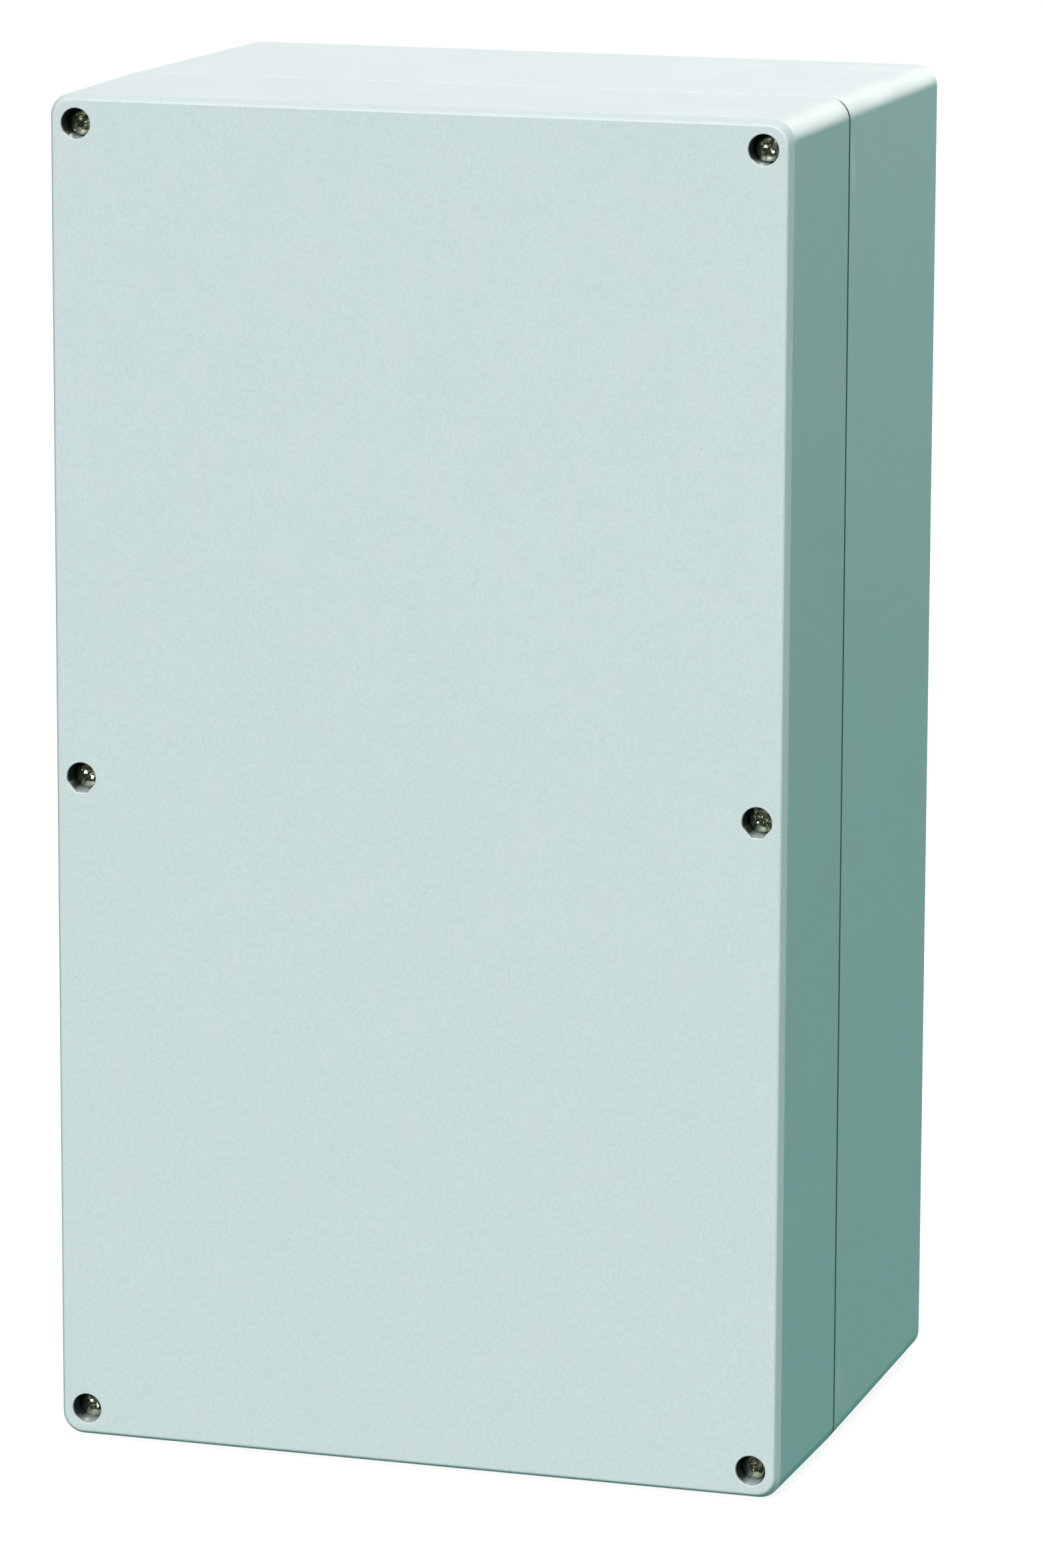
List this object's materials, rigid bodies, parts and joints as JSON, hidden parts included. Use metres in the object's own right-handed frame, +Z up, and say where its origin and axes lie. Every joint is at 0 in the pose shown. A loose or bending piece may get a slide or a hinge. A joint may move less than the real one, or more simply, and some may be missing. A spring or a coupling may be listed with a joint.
{
  "type": "industrial switchboard enclosure",
  "caption": "Tall light-grey moulded plastic switchboard enclosure: deep case, deep screw-down cover with captive screws, seal, mounting plate and rails inside.",
  "frame": {"origin": "middle of the bounding box's underside", "axes": "+Z up the tall side, the cover faces -Y, +X to the right of someone facing the cover"},
  "size_m": [0.2, 0.15, 0.36],
  "materials": {
    "light_grey_plastic": "fine satin moulded surface",
    "gasket_foam": "matt foam",
    "brass": "turned and knurled",
    "stainless_steel": "bright stainless steel",
    "nylon": "natural nylon",
    "zinc_plated_steel": "zinc plated"
  },
  "bodies": {
    "case": {"base": "light_grey_plastic", "mounting_plate": "zinc_plated_steel", "upper_rail": "zinc_plated_steel", "lower_rail": "zinc_plated_steel", "thread_insert_top_left": "brass", "thread_insert_top_right": "brass", "thread_insert_middle_left": "brass", "thread_insert_middle_right": "brass", "thread_insert_bottom_left": "brass", "thread_insert_bottom_right": "brass", "plate_screw_top_left": "zinc_plated_steel", "plate_screw_top_right": "zinc_plated_steel", "plate_screw_bottom_left": "zinc_plated_steel", "plate_screw_bottom_right": "zinc_plated_steel", "rail_screw_upper_left": "zinc_plated_steel", "rail_screw_upper_right": "zinc_plated_steel", "rail_screw_lower_left": "zinc_plated_steel", "rail_screw_lower_right": "zinc_plated_steel"},
    "cover": {"cover": "light_grey_plastic", "cover_gasket": "gasket_foam"},
    "screw_ring_top_left": {"screw_ring_top_left": "nylon"},
    "cover_screw_top_left": {"cover_screw_top_left": "stainless_steel"},
    "screw_ring_top_right": {"screw_ring_top_right": "nylon"},
    "cover_screw_top_right": {"cover_screw_top_right": "stainless_steel"},
    "screw_ring_middle_left": {"screw_ring_middle_left": "nylon"},
    "cover_screw_middle_left": {"cover_screw_middle_left": "stainless_steel"},
    "screw_ring_middle_right": {"screw_ring_middle_right": "nylon"},
    "cover_screw_middle_right": {"cover_screw_middle_right": "stainless_steel"},
    "screw_ring_bottom_left": {"screw_ring_bottom_left": "nylon"},
    "cover_screw_bottom_left": {"cover_screw_bottom_left": "stainless_steel"},
    "screw_ring_bottom_right": {"screw_ring_bottom_right": "nylon"},
    "cover_screw_bottom_right": {"cover_screw_bottom_right": "stainless_steel"}
  },
  "joints": [
    {"name": "cover_slide", "type": "slide", "parent": "case", "child": "cover", "axis": [0, -1, 0], "range_m": [0, 0.12]},
    {"name": "screw_rise_top_left", "type": "slide", "parent": "cover", "child": "screw_ring_top_left", "axis": [0, -1, 0], "range_m": [0, 0.007]},
    {"name": "screw_turn_top_left", "type": "hinge", "parent": "screw_ring_top_left", "child": "cover_screw_top_left", "pos_m": [-0.092, -0.0677, 0.352], "axis": [0, -1, 0], "range_deg": [0, 3600]},
    {"name": "screw_rise_top_right", "type": "slide", "parent": "cover", "child": "screw_ring_top_right", "axis": [0, -1, 0], "range_m": [0, 0.007]},
    {"name": "screw_turn_top_right", "type": "hinge", "parent": "screw_ring_top_right", "child": "cover_screw_top_right", "pos_m": [0.092, -0.0677, 0.352], "axis": [0, -1, 0], "range_deg": [0, 3600]},
    {"name": "screw_rise_middle_left", "type": "slide", "parent": "cover", "child": "screw_ring_middle_left", "axis": [0, -1, 0], "range_m": [0, 0.007]},
    {"name": "screw_turn_middle_left", "type": "hinge", "parent": "screw_ring_middle_left", "child": "cover_screw_middle_left", "pos_m": [-0.092, -0.0677, 0.18], "axis": [0, -1, 0], "range_deg": [0, 3600]},
    {"name": "screw_rise_middle_right", "type": "slide", "parent": "cover", "child": "screw_ring_middle_right", "axis": [0, -1, 0], "range_m": [0, 0.007]},
    {"name": "screw_turn_middle_right", "type": "hinge", "parent": "screw_ring_middle_right", "child": "cover_screw_middle_right", "pos_m": [0.092, -0.0677, 0.18], "axis": [0, -1, 0], "range_deg": [0, 3600]},
    {"name": "screw_rise_bottom_left", "type": "slide", "parent": "cover", "child": "screw_ring_bottom_left", "axis": [0, -1, 0], "range_m": [0, 0.007]},
    {"name": "screw_turn_bottom_left", "type": "hinge", "parent": "screw_ring_bottom_left", "child": "cover_screw_bottom_left", "pos_m": [-0.092, -0.0677, 0.008], "axis": [0, -1, 0], "range_deg": [0, 3600]},
    {"name": "screw_rise_bottom_right", "type": "slide", "parent": "cover", "child": "screw_ring_bottom_right", "axis": [0, -1, 0], "range_m": [0, 0.007]},
    {"name": "screw_turn_bottom_right", "type": "hinge", "parent": "screw_ring_bottom_right", "child": "cover_screw_bottom_right", "pos_m": [0.092, -0.0677, 0.008], "axis": [0, -1, 0], "range_deg": [0, 3600]}
  ],
  "couplings": [
    {"joint": "screw_turn_top_left", "follows": "screw_rise_top_left", "rad_per_m": 8975.9},
    {"joint": "screw_turn_top_right", "follows": "screw_rise_top_right", "rad_per_m": 8975.9},
    {"joint": "screw_turn_middle_left", "follows": "screw_rise_middle_left", "rad_per_m": 8975.9},
    {"joint": "screw_turn_middle_right", "follows": "screw_rise_middle_right", "rad_per_m": 8975.9},
    {"joint": "screw_turn_bottom_left", "follows": "screw_rise_bottom_left", "rad_per_m": 8975.9},
    {"joint": "screw_turn_bottom_right", "follows": "screw_rise_bottom_right", "rad_per_m": 8975.9}
  ]
}
